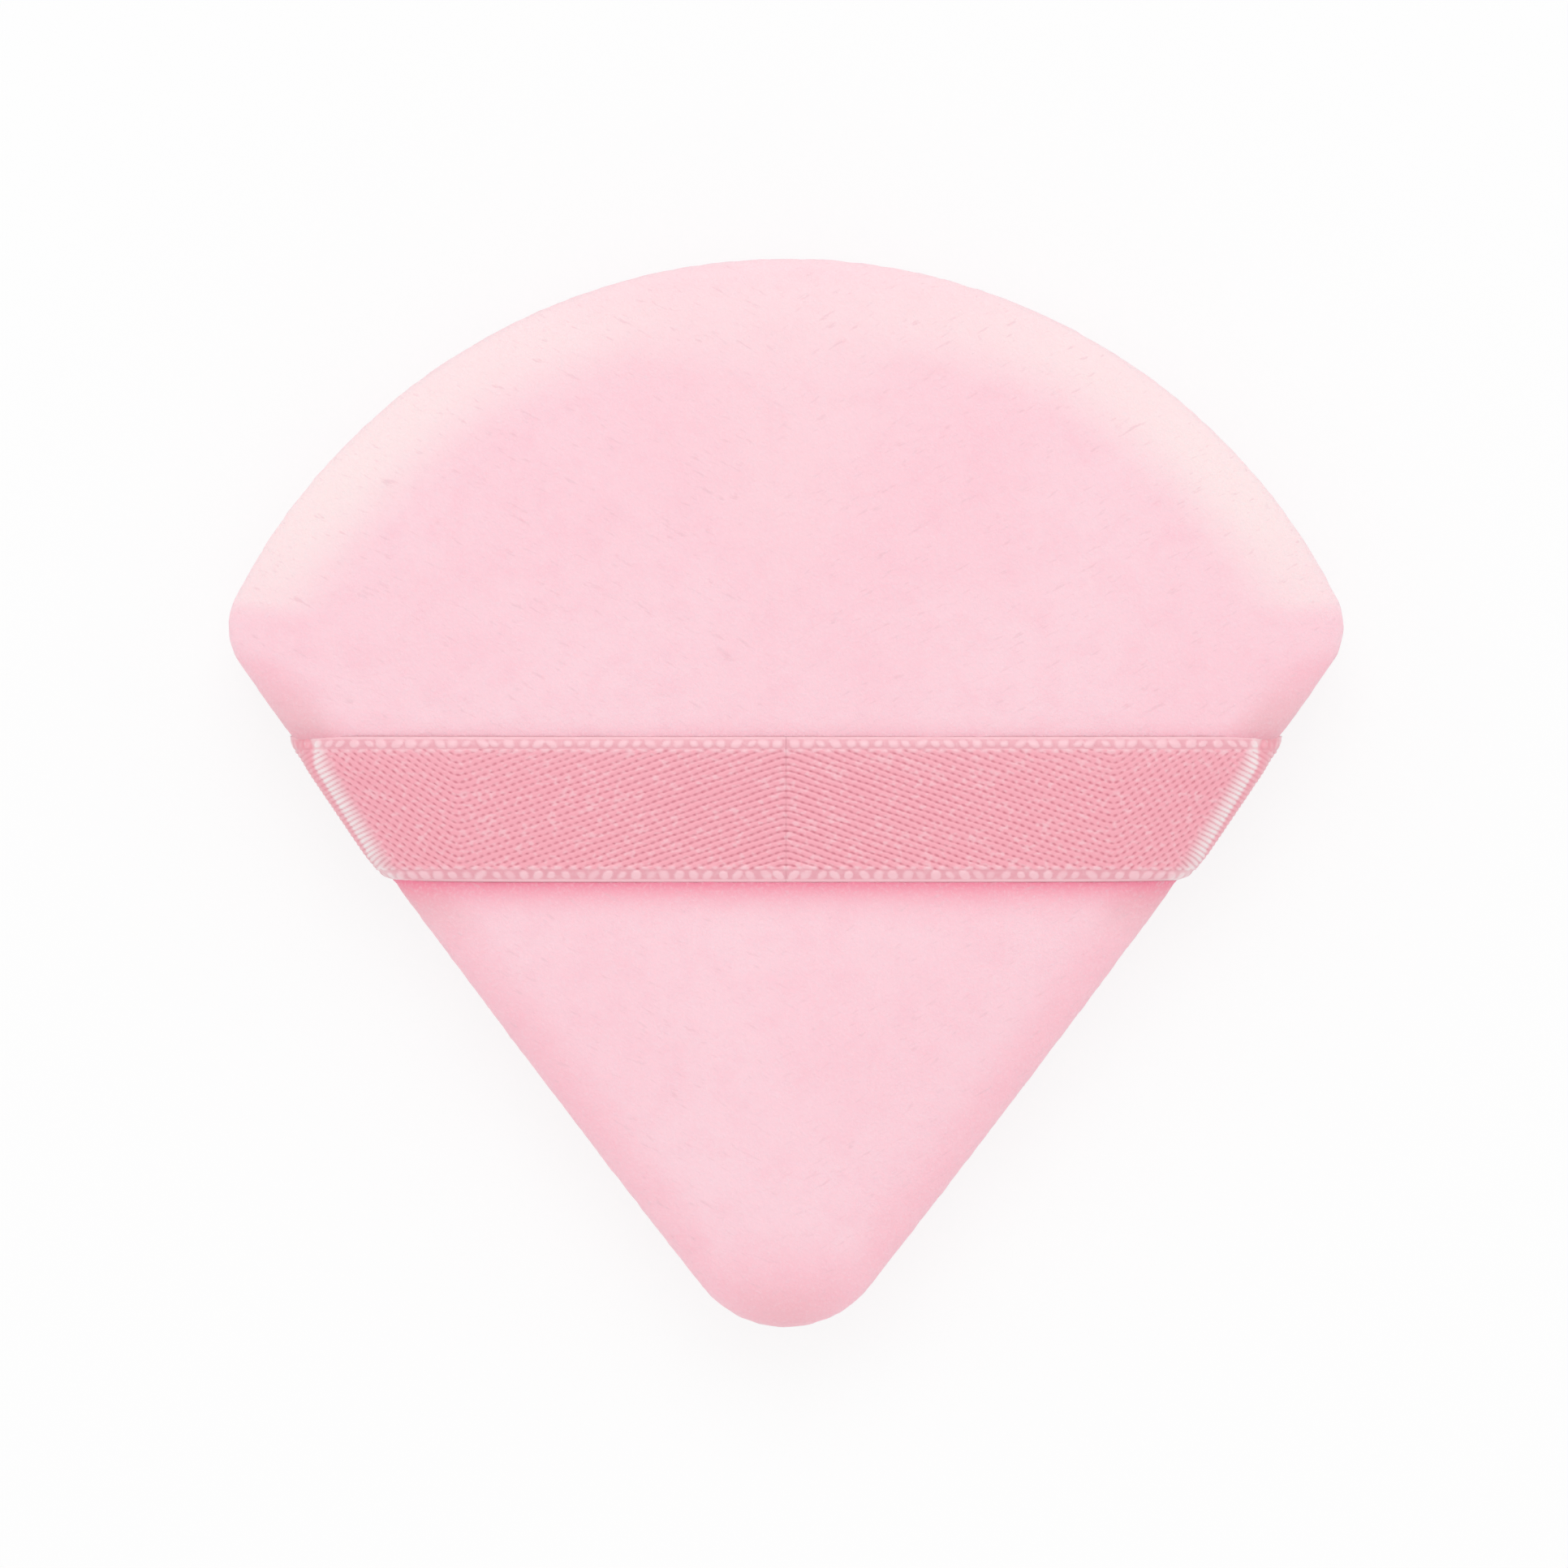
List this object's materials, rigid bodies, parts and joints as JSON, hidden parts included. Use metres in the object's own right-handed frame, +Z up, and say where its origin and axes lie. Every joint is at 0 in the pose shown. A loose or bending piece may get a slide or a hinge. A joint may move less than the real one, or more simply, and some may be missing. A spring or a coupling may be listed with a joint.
{
  "type": "powder puff",
  "caption": "Fan-shaped velour powder puff, a soft filled pad with a woven ribbon strap across one face that lifts to take the fingers.",
  "frame": {"origin": "middle of the puff's outline, on the surface that it lies on", "axes": "+X across the wide arc from corner to corner, to the right with the strap facing up; +Y from the rounded tip to the wide arc; +Z up out of the strap face"},
  "size_m": [0.077, 0.0738, 0.012],
  "materials": {
    "velour": "short soft pile, pale pink",
    "foam": "open-cell soft foam, off-white",
    "thread": "spun sewing thread, pink",
    "ribbon": "satin herringbone weave, deeper pink"
  },
  "bodies": {
    "puff": {"front_cover": "velour", "back_cover": "velour", "foam_core": "foam", "needle_thread": "thread", "bobbin_thread": "thread", "closing_stitch": "thread", "ribbon_tail_left": "ribbon", "ribbon_tail_right": "ribbon"},
    "strap": {"ribbon_span": "ribbon"},
    "shoulder_left": {"ribbon_shoulder_left": "ribbon"},
    "shoulder_right": {"ribbon_shoulder_right": "ribbon"}
  },
  "joints": [
    {"name": "strap_lift", "type": "slide", "parent": "puff", "child": "strap", "axis": [0, 0, 1], "range_m": [0, 0.004]},
    {"name": "shoulder_left_turn", "type": "hinge", "parent": "puff", "child": "shoulder_left", "pos_m": [-0.03119, -0.00114, 0.0053], "axis": [0.583, -0.8125, 0], "range_deg": [0, 17.3]},
    {"name": "shoulder_right_turn", "type": "hinge", "parent": "puff", "child": "shoulder_right", "pos_m": [0.03119, -0.00114, 0.0053], "axis": [0.583, 0.8125, 0], "range_deg": [0, 17.3]}
  ],
  "couplings": [
    {"joint": "shoulder_left_turn", "follows": "strap_lift", "rad_per_m": 75.11},
    {"joint": "shoulder_right_turn", "follows": "strap_lift", "rad_per_m": 75.11}
  ]
}
